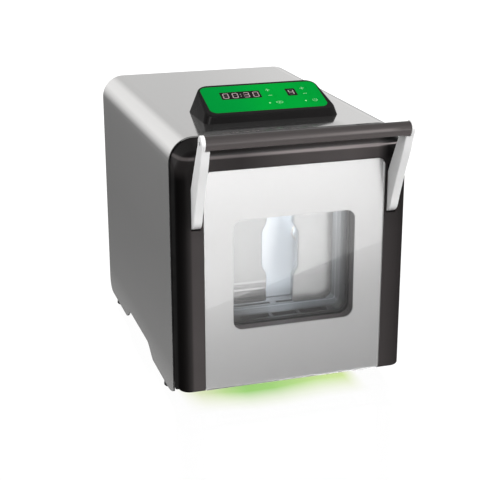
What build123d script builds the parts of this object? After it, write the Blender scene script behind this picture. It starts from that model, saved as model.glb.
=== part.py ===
from build123d import *
import math
import os

os.makedirs("parts", exist_ok=True)

# ---------------------------------------------------------------- dimensions
# All lengths in mm. Drawing frame: x to the right, y to the rear with y = 0 at
# the hood's front edge, z up from the bench. Every piece is moved by -Y_MID at
# export, so that the stored origin is the middle of the whole object's base.
HOOD_W = 260.0          # hood width
HOOD_D = 355.6          # hood depth
HOOD_H = 301.0          # hood top above the bench
HOOD_R = 27.0           # outer radius of the hood's two long top edges
SHEET = 1.5             # hood sheet thickness

DOOR_HX = 128.5         # half width of the door frame
DOOR_Z0 = 24.3          # door bottom
DOOR_TOP_REAR = 299.5   # door top at its rear face
DOOR_TOP_FRONT = 288.5  # door top at its front face
DOOR_YR = -1.0          # door rear face
DOOR_YF = -28.8         # door front face
DOOR_FILLET = 12.5      # rounding of the door's front outer edge
PANEL_HX = 101.0        # half width of the silver front panel
PANEL_Z0 = 24.6
PANEL_Z1 = 269.7
PANEL_R = 9.0
PANE_T = 3.0            # clear front pane
PLATE_T = 1.5           # silver plate behind the pane
WIN_HX = 68.8           # window half width
WIN_Z0 = 90.4
WIN_Z1 = 214.1
WIN_R = 10.6

DOOR_AX_Y = -6.0        # door hinge axis
DOOR_AX_Z = 22.5
KNUCKLE_R = 4.0
HINGE_PIN_R = 3.0

ARM_X0 = 104.5          # handle arm, inner side
ARM_X1 = 114.0          # handle arm, outer side
CHEEK_X = 109.8         # inner side of the cheek beside the grip bar
BAR_R = 7.45
BAR_Y = DOOR_YF - 36.0
BAR_Z = 308.8
PIVOT_Y = DOOR_YF + 6.0  # handle pivot
PIVOT_Z = 223.5
PIVOT_PIN_R = 3.0
RUN_FIT = 0.05          # radial clearance of a running fit

COLLAR_Y1 = 17.7        # rear face of the collar behind the door
TUB_Y1 = 64.0           # front face of the chamber's rear wall
TUB_HX = 72.0
TUB_Z0 = 88.0
TUB_Z1 = 249.0

STROKE = 12.5           # paddle stroke
ECC = STROKE / 2        # crank eccentricity
PADDLE_Y = 19.0         # front face of the forward paddle
PADDLE_T = 8.0
ROD_X = 37.0
ROD_Z = 165.0
ROD_R = 7.0
CRANK_Y = 150.0
CRANK_Z = ROD_Z
SHAFT_R = 7.5
ECC_R = 15.5
ROLLER_R = 20.0
PULLEY_BIG_R = 42.0
PULLEY_SMALL_R = 14.0   # belt ratio 3 to 1
MOTOR_Y = 262.0
MOTOR_Z = 92.0
BELT_X0, BELT_X1 = 92.0, 104.0

TILT = 18.35            # slope of the console's top face, degrees
OV_Y, OV_Z = 54.1, 311.0   # middle of the key panel's front edge
OV_HX = 68.0
OV_L = 56.3
KEY_TRAVEL = 0.4

FOOT_X, FOOT_Y0, FOOT_Y1, FOOT_R = 119.0, 50.0, 316.0, 9.8
BASE_Z = 23.0
Y_FRONT = DOOR_YF - 44.0   # foremost point: the cheeks of the handle
Y_MID = (Y_FRONT + HOOD_D) / 2

# ------------------------------------------------------------------- helpers


def box(x0, x1, y0, y1, z0, z1):
    return Pos((x0 + x1) / 2, (y0 + y1) / 2, (z0 + z1) / 2) * Box(
        abs(x1 - x0), abs(y1 - y0), abs(z1 - z0))


def cylx(x0, x1, y, z, r):
    return Pos((x0 + x1) / 2, y, z) * Rot(0, 90, 0) * Cylinder(r, abs(x1 - x0))


def cyly(y0, y1, x, z, r):
    return Pos(x, (y0 + y1) / 2, z) * Rot(90, 0, 0) * Cylinder(r, abs(y1 - y0))


def cylz(z0, z1, x, y, r):
    return Pos(x, y, (z0 + z1) / 2) * Cylinder(r, abs(z1 - z0))


def along_y(sk, y0, y1):
    """Prism of a sketch drawn as (x, z), from y0 to y1."""
    pl = Plane(origin=(0, y0, 0), x_dir=(1, 0, 0), z_dir=(0, -1, 0))
    return extrude(pl * sk, amount=y1 - y0, dir=(0, 1, 0))


def along_x(sk, x0, x1):
    """Prism of a sketch drawn as (y, z), from x0 to x1."""
    pl = Plane(origin=(x0, 0, 0), x_dir=(0, 1, 0), z_dir=(1, 0, 0))
    return extrude(pl * sk, amount=x1 - x0, dir=(1, 0, 0))


def rrect(x0, x1, z0, z1, rt, rb=None):
    """Rectangle with top corner radius rt and bottom corner radius rb."""
    rb = rt if rb is None else rb
    sk = Pos((x0 + x1) / 2, (z0 + z1) / 2) * Rectangle(x1 - x0, z1 - z0)
    vs = sk.vertices()
    top = [v for v in vs if v.Y > (z0 + z1) / 2]
    if rt > 0:
        sk = fillet(top, rt)
    if rb > 0:
        bot = [v for v in sk.vertices() if abs(v.Y - z0) < 1e-6]
        sk = fillet(bot, rb)
    return sk


def mirror_x(s):
    return mirror(s, Plane.YZ)


NODES = {}


def node(name, *solids):
    out = []
    for s in solids:
        out += list(s.solids())
    NODES[name] = out


# ================================================================ root body
# ---- hood: folded sheet cover, open below, in front and behind
outer = rrect(-HOOD_W / 2, HOOD_W / 2, -20, HOOD_H, HOOD_R, 0)
inner = rrect(-HOOD_W / 2 + SHEET, HOOD_W / 2 - SHEET, -40, HOOD_H - SHEET,
              HOOD_R - SHEET, 0)
hood = along_y(outer, 0, HOOD_D) - along_y(inner, -1, HOOD_D + 1)
skirt_edges = [
    Line((0, 400), (0, 15.4)),
    Spline((0, 15.4), (8, 11.6), (17.5, 9.1), (30, 8.2),
           tangents=[(1, -0.62), (1, -0.01)]),
    Line((30, 8.2), (100, 8.6)),
    Spline((100, 8.6), (113, 14.2), (131, 22.0), tangents=[(1, 0), (1, 0)],
           tangent_scalars=[0.6, 0.9]),
    Line((131, 22.0), (226, 22.0)),
    Spline((226, 22.0), (233, 17.2), (252, 8.0), tangents=[(1, 0), (1, 0)],
           tangent_scalars=[0.5, 0.8]),
    Line((252, 8.0), (338, 8.0)),
    ThreePointArc((338, 8.0), (350.45, 13.15), (HOOD_D, 25.6)),
    Line((HOOD_D, 25.6), (HOOD_D, 400)),
    Line((HOOD_D, 400), (0, 400)),
]
skirt = make_face(Wire(skirt_edges))
hood = hood & along_x(skirt, -HOOD_W, HOOD_W)
hood -= cylz(HOOD_H - 5, HOOD_H + 5, 0, 96.0, 9.0)   # wiring hole below the console
node("hood", hood)

# ---- base plate: folded pan that carries the mechanism
BP_Y0, BP_Y1 = 12.0, 350.6
pan = box(-126, 126, BP_Y0, BP_Y1, BASE_Z, BASE_Z + 16)
pan -= box(-124, 124, BP_Y0 + 2, BP_Y1 - 2, BASE_Z + 2, BASE_Z + 30)
for x in (-FOOT_X, FOOT_X):
    for y in (FOOT_Y0, FOOT_Y1):
        pan -= cylz(BASE_Z - 1, BASE_Z + 3, x, y, 2.5)
PLATE_SCREW = [(s * 79.0, y) for s in (-1, 1) for y in (60.0, 180.0)]
for x, y in PLATE_SCREW:
    pan -= cylz(BASE_Z - 1, BASE_Z + 3, x, y, 2.5)
for i in range(7):      # cooling slots under the motor
    pan -= box(-40, 40, 226 + i * 11, 231 + i * 11, BASE_Z - 1, BASE_Z + 3)
node("base_plate", pan)

# ---- feet
feet = []
for x in (-FOOT_X, FOOT_X):
    for y in (FOOT_Y0, FOOT_Y1):
        f = Pos(x, y, 0) * extrude(Circle(FOOT_R), BASE_Z, taper=4.4)
        f -= cylz(-1, 6, x, y, 5.0)
        f -= cylz(5, BASE_Z + 1, x, y, 2.5)
        f = fillet(f.edges().filter_by(GeomType.CIRCLE).group_by(Axis.Z)[0].sort_by(SortBy.RADIUS)[-1:], 0.8)
        feet.append(f)
node("feet", *feet)

# ---- screws of the chassis: feet (M5) and side plates (M5), from below
screws = []
for x in (-FOOT_X, FOOT_X):
    for y in (FOOT_Y0, FOOT_Y1):
        s = cylz(3.2, 6.0, x, y, 4.4) + cylz(5.9, BASE_Z + 8, x, y, 2.5) \
            + Pos(x, y, BASE_Z + 2) * extrude(RegularPolygon(4.6, 6), 4.0)
        s -= Pos(x, y, 3.2) * extrude(RegularPolygon(2.3, 6), 1.6)
        screws.append(s)
for x, y in PLATE_SCREW:
    s = cylz(BASE_Z - 3, BASE_Z, x, y, 4.4) + cylz(BASE_Z - 0.1, BASE_Z + 14, x, y, 2.5)
    s -= Pos(x, y, BASE_Z - 3) * extrude(RegularPolygon(2.3, 6), 1.6)
    screws.append(s)
REAR_SCREW = [(x, 32.5) for x in (-112.0, -30.0, 30.0, 112.0)]
for x, z in REAR_SCREW:
    s = cyly(352.6, 354.6, x, z, 3.6) + cyly(347.0, 352.7, x, z, 2.0)
    s -= box(x - 2.4, x + 2.4, 353.7, 355, z - 0.45, z + 0.45)
    s -= box(x - 0.45, x + 0.45, 353.7, 355, z - 2.4, z + 2.4)
    screws.append(s)
node("chassis_screws", *screws)
pan = NODES["base_plate"][0]
for x, z in REAR_SCREW:
    pan = pan - cyly(347, 352, x, z, 2.0)
node("base_plate", Part() + pan)

# ---- rear panel: inset tray with a folded lip inside the hood
RP_Y0, RP_Y1 = 350.6, 352.6
G = 0.15
rp_out = rrect(-HOOD_W / 2 + SHEET + G, HOOD_W / 2 - SHEET - G, 26.0,
               HOOD_H - SHEET - G, HOOD_R - SHEET - G, 3)
rear = along_y(rp_out, RP_Y0, RP_Y1)
lip = along_y(rrect(-HOOD_W / 2 + SHEET + G, HOOD_W / 2 - SHEET - G, 60.0,
                    HOOD_H - SHEET - G, HOOD_R - SHEET - G, 0), 338, RP_Y0 + 0.1)
lip -= along_y(rrect(-HOOD_W / 2 + SHEET + G + 1.5, HOOD_W / 2 - SHEET - G - 1.5, 50.0,
                     HOOD_H - SHEET - G - 1.5, HOOD_R - SHEET - G - 1.5, 0), 337, RP_Y0)
rear = rear + lip
for x, z in REAR_SCREW:
    rear -= cyly(350, 353, x, z, 2.0)
for j in range(9):      # two banks of cooling louvres
    for cx in (-58.0, 58.0):
        z = 170 + j * 11.0
        rear -= along_y(SlotOverall(76, 4.0).moved(Location((cx, z, 0))), 350, 353)
INL_X, INL_Z = -82.0, 82.0   # middle of the inlet module
rear -= box(INL_X - 15.0, INL_X + 15.0, 350, 353, INL_Z - 32.0, INL_Z + 32.0)
node("rear_panel", rear)

# ---- inlet module: three-pin socket, fuse drawer and rocker switch
IY = RP_Y1
inl = along_y(rrect(INL_X - 25, INL_X + 25, INL_Z - 36, INL_Z + 36, 4, 4), IY, IY + 2.6)
inl += box(INL_X - 14.8, INL_X + 14.8, 322, IY + 0.1, INL_Z - 31.8, INL_Z + 31.8)
sock_z = INL_Z - 20.0
# socket opening with two cut lower corners
sock = Polygon((INL_X - 12.2, sock_z + 8.6), (INL_X + 12.2, sock_z + 8.6),
               (INL_X + 12.2, sock_z - 3.6), (INL_X + 7.2, sock_z - 8.6),
               (INL_X - 7.2, sock_z - 8.6), (INL_X - 12.2, sock_z - 3.6), align=None)
inl -= along_y(sock, IY - 15, IY + 4)
for dx, dz in ((-7.0, 2.0), (7.0, 2.0), (0.0, -2.6)):
    inl += box(INL_X + dx - 1.0, INL_X + dx + 1.0, IY - 16, IY - 2, sock_z - dz - 2.0, sock_z - dz + 2.0)
fz = INL_Z + 0.5        # fuse drawer pocket
inl -= box(INL_X - 11.2, INL_X + 11.2, IY - 12, IY + 4, fz - 5.2, fz + 5.2)
rz = INL_Z + 21.0       # rocker pocket
inl -= box(INL_X - 10.6, INL_X + 10.6, IY - 9.0, IY + 4, rz - 8.2, rz + 8.2)
for k in (-9.0, 0.0, 9.0):   # terminals behind
    inl += box(INL_X + k - 0.4, INL_X + k + 0.4, 314, 322.1, sock_z - 3, sock_z + 3)
node("power_inlet", inl)
fuse = box(INL_X - 11.0, INL_X + 11.0, IY - 11.5, IY + 2.2, fz - 5.0, fz + 5.0)
fuse -= box(INL_X - 4, INL_X + 4, IY + 1.2, IY + 3, fz - 5.1, fz - 3.4)
fuse -= box(INL_X - 8, INL_X + 8, IY - 12, IY - 4.0, fz - 3.4, fz + 3.4)
node("fuse_drawer", fuse)

ROCK_Y = IY - 2.0
rk = along_x(make_face(Wire([
    Line((-5.0, -6.6), (3.6, -6.6)), ThreePointArc((3.6, -6.6), (2.2, 0), (3.6, 6.6)),
    Line((3.6, 6.6), (-5.0, 6.6)), Line((-5.0, 6.6), (-5.0, -6.6))])), -9.9, 9.9)
rk = fillet(rk.edges().filter_by(Axis.X), 0.7)
rk += cylx(-10.4, 10.4, 0, 0, 1.5)      # pivot pins
rk = Pos(INL_X, ROCK_Y, rz) * Rot(8, 0, 0) * rk
node("power_rocker", rk)

# ---- front bezel: fixed black frame in the hood's mouth
BZ0, BZ1 = 0.3, 12.0
bz = along_y(rrect(-128.3, 128.3, 16.5, 299.3, 25.3, 3), BZ0, BZ1)
bz -= along_y(rrect(-74.3, 74.3, 83.7, 252.3, 4, 4), BZ0 - 1, BZ1 + 1)
bz -= along_y(rrect(-66.5, 66.5, 64.0, 81.0, 1, 1), BZ0 - 1, BZ1 + 1)
MAG_X, MAG_Z = 90.0, 268.0
for s in (-1, 1):
    bz -= cyly(BZ0 - 1, BZ0 + 6, s * MAG_X, MAG_Z, 8.0)
node("front_bezel", bz)
node("catch_magnets", *[cyly(BZ0 - 0.1, BZ0 + 6, s * MAG_X, MAG_Z, 8.0)
                        - cyly(BZ0 - 1, BZ0 + 1.2, s * MAG_X, MAG_Z, 2.2) for s in (-1, 1)])

# ---- underlight: light bar below the bezel
ul = box(-82, 82, 5.5, 12.0, 13.4, 16.5)
ul = fillet(ul.edges().filter_by(Axis.X).group_by(Axis.Z)[0], 1.4)
node("underlight_bar", ul)

# ---- chamber collar and tub
col = along_y(rrect(-74, 74, 84, 252, 4, 4), 0.0, COLLAR_Y1)
col -= along_y(rrect(-WIN_HX, WIN_HX, WIN_Z0, 246, WIN_R, WIN_R), -1, COLLAR_Y1 + 1)
for x0, x1 in ((-50.0, -18.0), (-14.0, 14.0), (18.0, 50.0)):   # drain slots
    col -= box(x0, x1, 4.0, 13.5, 80, 92)
node("chamber_collar", col)
tub = along_y(rrect(-TUB_HX - 2, TUB_HX + 2, TUB_Z0 - 2, TUB_Z1 + 2, 6, 6), COLLAR_Y1, TUB_Y1 + 2)
tub -= along_y(rrect(-TUB_HX, TUB_HX, TUB_Z0, TUB_Z1, 4, 4), COLLAR_Y1 - 1, TUB_Y1)
for s in (-1, 1):
    tub -= cyly(TUB_Y1 - 1, TUB_Y1 + 3, s * ROD_X, ROD_Z, 10.0)
for x0, x1 in ((-48.0, -4.0), (4.0, 48.0)):
    tub -= box(x0, x1, 46.0, 52.0, 80, TUB_Z0 + 1)
node("chamber_tub", tub)

# ---- drip tray below the chamber, drawn out to the front with the door open
tray = box(-66, 66, 0.6, 60.0, 65.0, 80.4)
tray -= box(-64, 64, 2.6, 58.0, 67.0, 82)
tray -= box(-18, 18, 0, 1.6, 69, 74)      # finger edge
node("drip_tray", tray)

# ---- side plates of the mechanism, with the crankshaft's ball bearings
sp = make_face(Polyline((20, 25), (206, 25), (206, 60), (184, 193), (116, 193),
                        (80, 238), (20, 238), close=True))
sp = fillet(sp.vertices().filter_by(lambda v: v.Z + v.Y > 60), 6)
side = along_x(sp, 74.0, 84.0)
side -= cylx(73, 85, CRANK_Y, CRANK_Z, 16.0)
for y in (60.0, 180.0):
    side -= cylz(24, BASE_Z + 14, 79.0, y, 2.5)
TRAY_RAIL = box(58.0, 74.1, 20, 58, 62.5, 65.0)   # ledge that the tray slides on
side_r = side + TRAY_RAIL
node("side_plates", mirror_x(side_r), side_r)
brg = cylx(74.6, 83.4, CRANK_Y, CRANK_Z, 16.0) - cylx(74, 84, CRANK_Y, CRANK_Z, SHAFT_R + RUN_FIT)
for x0, x1 in ((74.5, 75.4), (82.6, 83.5)):
    brg -= cylx(x0, x1, CRANK_Y, CRANK_Z, 13.6) - cylx(x0 - 1, x1 + 1, CRANK_Y, CRANK_Z, 10.4)
node("crank_bearings", mirror_x(brg), brg)

# ---- guide bushings and wiper seals of the paddle rods
bush, seals = [], []
for s in (-1, 1):
    b = cyly(TUB_Y1, 99.0, s * ROD_X, ROD_Z, 10.0) + cyly(TUB_Y1 + 2, TUB_Y1 + 6, s * ROD_X, ROD_Z, 17.0)
    b -= cyly(60, 100, s * ROD_X, ROD_Z, ROD_R + RUN_FIT)
    bush.append(b)
    w = cyly(TUB_Y1 - 3.0, TUB_Y1, s * ROD_X, ROD_Z, 9.2) - cyly(59, 66, s * ROD_X, ROD_Z, ROD_R + 0.1)
    w = fillet(w.edges().filter_by(GeomType.CIRCLE).group_by(Axis.Y)[0].sort_by(SortBy.RADIUS)[-1:], 0.8)
    seals.append(w)
node("guide_bushings", *bush)
node("rod_seals", *seals)

# ---- motor, its bracket and the belt
mot = cylx(-72, 50, MOTOR_Y, MOTOR_Z, 36.0)
mot += cylx(-78, -71.9, MOTOR_Y, MOTOR_Z, 33.0) + cylx(49.9, 54.0, MOTOR_Y, MOTOR_Z, 18.0)
for k in range(16):     # cooling fins round the housing
    a = math.radians(k * 22.5)
    f = Pos(-11, MOTOR_Y, MOTOR_Z) * Rot(math.degrees(a), 0, 0) * Pos(0, 0, 36.5) * Box(96, 2.4, 5.0)
    mot += f
mot += box(-40, 10, MOTOR_Y - 22, MOTOR_Y + 22, MOTOR_Z + 34, MOTOR_Z + 50)   # terminal box
mot -= cylx(-60, 60, MOTOR_Y, MOTOR_Z, 6.3)      # rotor bore
node("motor", mot)
mb = box(50.0, 56.0, MOTOR_Y - 48, MOTOR_Y + 48, BASE_Z + 2, MOTOR_Z + 46)
mb = fillet(mb.edges().filter_by(Axis.X).group_by(Axis.Z)[-1], 12)
mb += box(56.0, 80.0, MOTOR_Y - 48, MOTOR_Y + 48, BASE_Z + 2, BASE_Z + 8)
mb -= cylx(49, 57, MOTOR_Y, MOTOR_Z, 18.0)
node("motor_bracket", mb)
ms = cylx(-58, 106, MOTOR_Y, MOTOR_Z, 6.0)
node("motor_shaft", ms)
mp = along_x(Pos(MOTOR_Y, MOTOR_Z) * (Circle(PULLEY_SMALL_R - 0.9)
                                      - PolarLocations(PULLEY_SMALL_R - 0.9, 20) * Circle(0.9)), BELT_X0, BELT_X1)
mp += cylx(BELT_X0 - 1.6, BELT_X0, MOTOR_Y, MOTOR_Z, PULLEY_SMALL_R + 2.6)
mp += cylx(BELT_X1, BELT_X1 + 1.6, MOTOR_Y, MOTOR_Z, PULLEY_SMALL_R + 2.6)
mp -= cylx(80, 110, MOTOR_Y, MOTOR_Z, 6.0)
node("motor_pulley", mp)
dp = along_x(Pos(CRANK_Y, CRANK_Z) * (Circle(PULLEY_BIG_R - 0.9)
                                      - PolarLocations(PULLEY_BIG_R - 0.9, 60) * Circle(0.9)), BELT_X0, BELT_X1)
dp += cylx(BELT_X0 - 1.6, BELT_X0, CRANK_Y, CRANK_Z, PULLEY_BIG_R + 2.2)
dp += cylx(BELT_X1, BELT_X1 + 1.6, CRANK_Y, CRANK_Z, PULLEY_BIG_R + 2.2)
dp -= cylx(95.5, 110, CRANK_Y, CRANK_Z, 34.0) - cylx(90, 112, CRANK_Y, CRANK_Z, 14.0)
dp -= cylx(80, 112, CRANK_Y, CRANK_Z, SHAFT_R)
node("driven_pulley", dp)


def belt_loop(r_add):
    """Outline of the belt round both pulleys, offset by r_add."""
    r1, r2 = PULLEY_BIG_R + r_add, PULLEY_SMALL_R + r_add
    c1 = Vector(CRANK_Y, CRANK_Z)
    c2 = Vector(MOTOR_Y, MOTOR_Z)
    d = c2 - c1
    L = d.length
    base = math.atan2(d.Y, d.X)
    off = math.acos((r1 - r2) / L)
    pts = []
    for sgn in (1, -1):
        n = base + sgn * off
        pts.append((c1 + Vector(math.cos(n), math.sin(n)) * r1,
                    c2 + Vector(math.cos(n), math.sin(n)) * r2))
    far1 = c1 - d.normalized() * r1
    far2 = c2 + d.normalized() * r2
    return make_face(Wire([
        Line(pts[0][0], pts[0][1]),
        ThreePointArc(pts[0][1], far2, pts[1][1]),
        Line(pts[1][1], pts[1][0]),
        ThreePointArc(pts[1][0], far1, pts[0][0])]))


belt = along_x(belt_loop(1.5), BELT_X0 + 0.8, BELT_X1 - 0.8) - along_x(belt_loop(-0.5), BELT_X0, BELT_X1)
node("timing_belt", belt)

# ---- crankshaft with two opposed eccentrics, and their roller bearings
cs = cylx(-86, 107, CRANK_Y, CRANK_Z, SHAFT_R)
cs += cylx(-45, -29, CRANK_Y + ECC, CRANK_Z, ECC_R)
cs += cylx(29, 45, CRANK_Y - ECC, CRANK_Z, ECC_R)
node("crankshaft", cs)
rol = []
for s, e in ((-1, ECC), (1, -ECC)):
    r = cylx(s * 31, s * 43, CRANK_Y + e, CRANK_Z, ROLLER_R)
    r -= cylx(s * 30, s * 44, CRANK_Y + e, CRANK_Z, ECC_R)
    for a, b in ((30.5, 31.7), (42.3, 43.5)):
        r -= cylx(s * a, s * b, CRANK_Y + e, CRANK_Z, 19.0) - cylx(s * (a - 1), s * (b + 1), CRANK_Y + e, CRANK_Z, 17.0)
    rol.append(r)
node("crank_rollers", *rol)

# ---- control board on the left, power supply on the right
cb = box(-118, -116.4, 225, 335, 60, 160)
for (y0, y1, z0, z1, h) in ((232, 262, 66, 100, 22), (270, 300, 70, 84, 12), (272, 292, 100, 130, 9),
                            (236, 252, 118, 150, 16), (304, 328, 66, 96, 18), (304, 326, 118, 148, 14)):
    cb += box(-116.5, -116.4 + h, y0, y1, z0, z1)
for y in (229, 331):
    for z in (64, 156):
        cb += cylx(-124.0, -117.9, y, z, 3.0)
cb += box(-124.0, -122.0, 225, 335, BASE_Z + 2, 160)
cb -= box(-125.0, -121.0, FOOT_Y1 - 8, FOOT_Y1 + 8, BASE_Z + 1, BASE_Z + 16)   # notch over the foot's screw
node("control_board", cb)
ps = box(-62, 24, 308, 340, BASE_Z + 2, BASE_Z + 50)
for k in range(8):
    ps -= box(-54 + k * 9, -50 + k * 9, 306, 309.2, BASE_Z + 10, BASE_Z + 42)
node("power_supply", ps)

# ---- console: black wedge on the hood's top
tilt = math.radians(TILT)
OV = Plane(origin=(0, OV_Y, OV_Z), x_dir=(1, 0, 0),
           z_dir=(0, -math.sin(tilt), math.cos(tilt)))
CON_Y0, CON_Y1, CON_HX = 46.2, 121.0, 77.2
CON_TAPER = 15.5        # slope of the console's sides, degrees from upright


def console_block(inset, top, z0):
    k = 46.0 * math.tan(math.radians(CON_TAPER))
    low = RectangleRounded(2 * (CON_HX - inset), CON_Y1 - CON_Y0 - 2 * inset, 9.0 - inset * 0.7)
    high = RectangleRounded(2 * (CON_HX - inset - k), CON_Y1 - CON_Y0 - 2 * inset - 2 * k, 15.5 - inset * 0.7)
    b = Pos(0, (CON_Y0 + CON_Y1) / 2, z0) * loft([low, Pos(0, 0, 46.0) * high], ruled=True)
    cutter = OV * (Pos(0, 0, 60 + top) * Box(400, 400, 120))
    return b - cutter


con = console_block(0.0, 0.0, HOOD_H)
top_f = con.faces().sort_by(lambda f: -(f.center() - Vector(0, OV_Y, OV_Z)).dot(OV.z_dir)
                            if abs(f.normal_at().dot(OV.z_dir)) > 0.999 else 1e6)[0]
con = fillet(top_f.outer_wire().edges(), 2.6)
con -= console_block(2.6, -3.2, HOOD_H - 0.001)


def on_ov(sk, n0, n1):
    """Prism on the console's sloping face from height n0 to n1."""
    return extrude(OV.offset(n0) * sk, amount=n1 - n0, dir=OV.z_dir)


ov_sk = Pos(0, OV_L / 2) * RectangleRounded(2 * OV_HX, OV_L, 8.5)
con -= on_ov(ov_sk, -0.6, 5)
# key and display places as (u, v, width, height) on the sloping face
KEYS = {
    "key_time_plus": (9.5, 42.0, 9.5, 8.6),
    "key_time_minus": (9.5, 30.2, 9.5, 8.6),
    "key_speed_plus": (50.0, 42.0, 9.5, 8.6),
    "key_speed_minus": (50.0, 30.2, 9.5, 8.6),
    "key_start": (15.2, 14.6, 13.0, 9.6),
    "key_stop": (56.0, 14.6, 11.0, 9.6),
}
DISP = {"time_display": (-24.8, 35.2, 46.5, 15.8), "speed_display": (34.6, 35.0, 11.6, 16.0)}
LEDS = ((3.0, 14.4), (45.2, 14.2))
ovl = on_ov(ov_sk, -0.6, 0.0)
for n, (u, v, w, h) in KEYS.items():
    hole = Pos(u, v) * RectangleRounded(w, h, 1.6)
    ovl -= on_ov(hole, -2, 1)
    con -= on_ov(hole, -5, 1)
for n, (u, v, w, h) in DISP.items():
    hole = Pos(u, v) * RectangleRounded(w, h, 0.8)
    ovl -= on_ov(hole, -2, 1)
    con -= on_ov(hole, -5, 1)
for u, v in LEDS:
    ovl -= on_ov(Pos(u, v) * Circle(1.1), -2, 1)
    con -= on_ov(Pos(u, v) * Circle(1.1), -5, 1)
node("console_housing", con)
node("keypad_overlay", ovl)
for n, (u, v, w, h) in KEYS.items():
    k = on_ov(Pos(u, v) * RectangleRounded(w - 0.3, h - 0.3, 1.45), -0.9, 0.0)
    k += on_ov(Pos(u, v) * Circle(2.0), -4.4, -0.8)
    node(n, k)
for n, (u, v, w, h) in DISP.items():
    d = on_ov(Pos(u, v) * RectangleRounded(w, h, 0.8), -5.0, -0.15)
    node(n, d)
node("indicator_leds", *[on_ov(Pos(u, v) * Circle(1.1), -5.0, -0.05) for u, v in LEDS])
pcb = on_ov(Pos(0, OV_L / 2 - 1.0) * Rectangle(2 * OV_HX - 8, OV_L - 12), -6.6, -5.0)
pcb -= on_ov(Pos(-62, 12.6) * Circle(1.6), -8, -4)
node("keypad_pcb", pcb)

# ---- fixed door hinge blocks with pins
hb, pins = [], []
for s in (-1, 1):
    b = cylx(s * 84, s * 96, DOOR_AX_Y, DOOR_AX_Z, KNUCKLE_R)
    b += box(s * 84, s * 96, DOOR_AX_Y, BZ0, DOOR_AX_Z - KNUCKLE_R, DOOR_AX_Z)
    b -= cylx(s * 80, s * 100, DOOR_AX_Y, DOOR_AX_Z, HINGE_PIN_R)
    b += box(s * 84, s * 96, -1.0, BZ0, DOOR_AX_Z - KNUCKLE_R - 1.5, DOOR_AX_Z + 0.4)
    hb.append(b)
    pins.append(cylx(s * 77.5, s * 102.5, DOOR_AX_Y, DOOR_AX_Z, HINGE_PIN_R))
node("hinge_blocks", *hb)
node("hinge_pins", *pins)

# ================================================================ door body
rear_sk = rrect(-DOOR_HX, DOOR_HX, DOOR_Z0, DOOR_TOP_REAR, 25.5, 0)
front_sk = rrect(-DOOR_HX, DOOR_HX, DOOR_Z0, DOOR_TOP_FRONT, 22.0, 0)
PR = Plane(origin=(0, DOOR_YR, 0), x_dir=(1, 0, 0), z_dir=(0, -1, 0))
PF = Plane(origin=(0, DOOR_YF, 0), x_dir=(1, 0, 0), z_dir=(0, -1, 0))
door = loft([PR * rear_sk, PF * front_sk], ruled=True)
fr = [e for e in door.edges() if abs(e.center().Y - DOOR_YF) < 1e-4 and e.center().Z > DOOR_Z0 + 1]
door = fillet(fr, DOOR_FILLET)
be = [e for e in door.edges() if abs(e.center().Z - DOOR_Z0) < 0.05 and e.length > 8
      and abs(abs(e.center().X) - DOOR_HX) < 0.05]
door = fillet(be, 2.0)
# recess for the front panel, open at the bottom
door -= along_y(rrect(-PANEL_HX - 0.2, PANEL_HX + 0.2, DOOR_Z0 - 10, PANEL_Z1 + 0.2, PANEL_R + 0.2, 0),
                DOOR_YF - 2, DOOR_YF + PANE_T + PLATE_T)
# window opening, and the seat of the inner window at the rear
door -= along_y(rrect(-WIN_HX - 1.2, WIN_HX + 1.2, WIN_Z0 - 1.2, WIN_Z1 + 1.2, WIN_R + 1.2), -40, 5)
door -= along_y(rrect(-84.2, 84.2, 76.2, 230.2, 4.2, 4.2), -10.3, 5)
for s in (-1, 1):
    # arm slot
    slot = box(s * (ARM_X0 - 0.4), s * (ARM_X1 + 0.4), -40, DOOR_YR - 5.8, PIVOT_Z, 262)
    slot += box(s * (ARM_X0 - 0.4), s * (ARM_X1 + 0.4), -40, PIVOT_Y, PIVOT_Z - 16, PIVOT_Z + 1)
    slot += cylx(s * (ARM_X0 - 0.4), s * (ARM_X1 + 0.4), PIVOT_Y, PIVOT_Z, 16.0)
    door -= slot
    door -= cylx(s * 102.0, s * 121.0, PIVOT_Y, PIVOT_Z, PIVOT_PIN_R)
    # catch plate pocket
    door -= cyly(DOOR_YR - 2.0, 1, s * MAG_X, MAG_Z, 9.5)
    # knuckles at the bottom, and room for the fixed blocks
    door -= cylx(s * 83.5, s * 96.5, DOOR_AX_Y, DOOR_AX_Z, KNUCKLE_R + 0.9)
    for a, b in ((78.0, 83.5), (96.5, 102.0)):
        k = cylx(s * a, s * b, DOOR_AX_Y, DOOR_AX_Z, KNUCKLE_R)
        k += box(s * a, s * b, DOOR_AX_Y - KNUCKLE_R, DOOR_AX_Y + KNUCKLE_R, DOOR_AX_Z, DOOR_Z0 + 0.3)
        door += k
    door -= cylx(s * 77.0, s * 103.0, DOOR_AX_Y, DOOR_AX_Z, HINGE_PIN_R + RUN_FIT)
WSCREW = [(sx * 79.0, z) for sx in (-1, 1) for z in (82.0, 153.2, 224.4)]
for x, z in WSCREW:
    door -= cyly(-16, -10, x, z, 1.5)
node("door_frame", door)

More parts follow.
